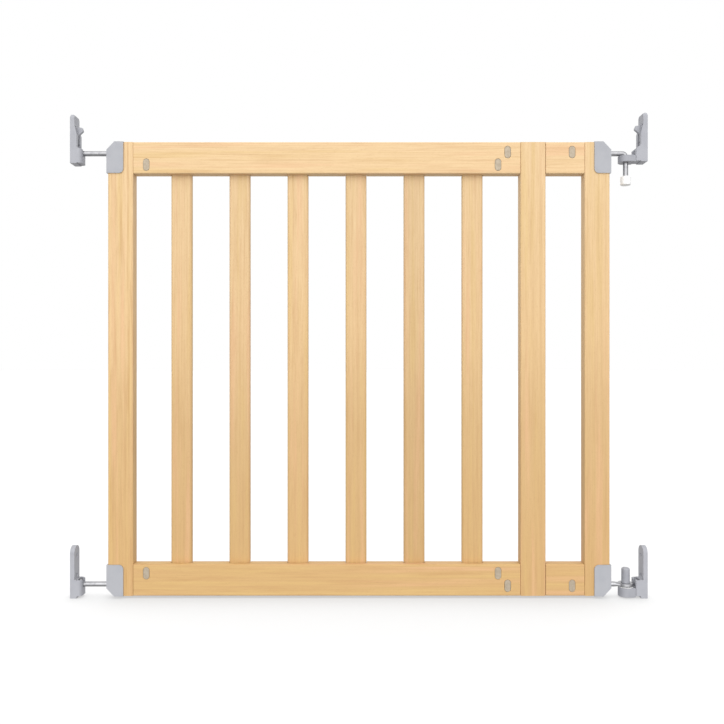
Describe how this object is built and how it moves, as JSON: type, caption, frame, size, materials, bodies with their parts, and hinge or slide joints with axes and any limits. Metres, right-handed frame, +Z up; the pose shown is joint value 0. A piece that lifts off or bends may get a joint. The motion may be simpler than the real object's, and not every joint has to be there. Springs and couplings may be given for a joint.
{
  "type": "safety baby gate",
  "caption": "Wooden safety gate that hangs between two walls, lifts off its catches and swings both ways on threaded rods.",
  "frame": {"origin": "on the gate's middle plane, midway between the two walls, level with the lowest point of the lower wall fittings", "axes": "+X along the gate from the latch side to the hinge side, +Y from the front face to the back face, +Z up"},
  "size_m": [0.916, 0.024, 0.773],
  "materials": {
    "beech": "clear satin lacquer over straight-grained beech",
    "cap_plastic": "light bluish grey, fine satin texture",
    "fitting_plastic": "mid grey, fine satin texture",
    "white_plastic": "satin white",
    "zinc_rod": "bright zinc plating over steel",
    "die_cast": "dull grey die-cast zinc"
  },
  "bodies": {
    "wall_fittings": {"top_latch_fitting": "fitting_plastic", "bottom_latch_fitting": "fitting_plastic", "top_hinge_fitting": "fitting_plastic", "bottom_hinge_fitting": "fitting_plastic", "top_hinge_arm": "fitting_plastic", "bottom_hinge_arm": "fitting_plastic"},
    "latch_catch": {"latch_side_catch": "fitting_plastic"},
    "hinge_catch": {"hinge_side_catch": "fitting_plastic"},
    "washer": {"hinge_washer": "white_plastic"},
    "hinge_rods": {"top_hinge_rod": "zinc_rod", "bottom_hinge_rod": "zinc_rod", "hinge_stop_cap": "white_plastic"},
    "gate_frame": {"latch_stile": "beech", "middle_stile": "beech", "hinge_stile": "beech", "top_rail": "beech", "bottom_rail": "beech", "top_extension_rail": "beech", "bottom_extension_rail": "beech", "slat_1": "beech", "slat_2": "beech", "slat_3": "beech", "slat_4": "beech", "slat_5": "beech", "slat_6": "beech", "top_latch_cross_nut": "die_cast", "top_inner_cross_nut": "die_cast", "top_extension_cross_nut": "die_cast", "top_hinge_cross_nut": "die_cast", "bottom_latch_cross_nut": "die_cast", "bottom_inner_cross_nut": "die_cast", "bottom_extension_cross_nut": "die_cast", "bottom_hinge_cross_nut": "die_cast", "top_latch_bolt": "zinc_rod", "top_inner_bolt": "zinc_rod", "top_extension_bolt": "zinc_rod", "bottom_latch_bolt": "zinc_rod", "bottom_inner_bolt": "zinc_rod", "bottom_extension_bolt": "zinc_rod", "top_rod_insert": "zinc_rod", "bottom_rod_insert": "zinc_rod", "top_latch_corner_cap": "cap_plastic", "top_hinge_corner_cap": "cap_plastic", "bottom_latch_corner_cap": "cap_plastic", "bottom_hinge_corner_cap": "cap_plastic"},
    "upper_latch_rod": {"top_latch_rod": "zinc_rod"},
    "lower_latch_rod": {"bottom_latch_rod": "zinc_rod"}
  },
  "joints": [
    {"name": "gate_swing", "type": "hinge", "parent": "wall_fittings", "child": "washer", "pos_m": [0.4265, 0, 0], "axis": [0, 0, 1], "range_deg": [-90, 90]},
    {"name": "gate_lift", "type": "slide", "parent": "washer", "child": "hinge_rods", "axis": [0, 0, 1], "range_m": [0, 0.0215]},
    {"name": "frame_shift", "type": "slide", "parent": "hinge_rods", "child": "gate_frame", "axis": [1, 0, 0], "range_m": [-0.006, 0.006]},
    {"name": "upper_latch_rod_slide", "type": "slide", "parent": "gate_frame", "child": "upper_latch_rod", "axis": [1, 0, 0], "range_m": [-0.006, 0.006]},
    {"name": "lower_latch_rod_slide", "type": "slide", "parent": "gate_frame", "child": "lower_latch_rod", "axis": [1, 0, 0], "range_m": [-0.006, 0.006]},
    {"name": "latch_catch_slide", "type": "slide", "parent": "wall_fittings", "child": "latch_catch", "axis": [0, 0, 1], "range_m": [-0.017, 0]},
    {"name": "hinge_catch_slide", "type": "slide", "parent": "wall_fittings", "child": "hinge_catch", "axis": [0, 0, 1], "range_m": [-0.017, 0]}
  ],
  "couplings": [
    {"joint": "upper_latch_rod_slide", "follows": "frame_shift", "ratio": -1},
    {"joint": "lower_latch_rod_slide", "follows": "frame_shift", "ratio": -1}
  ]
}
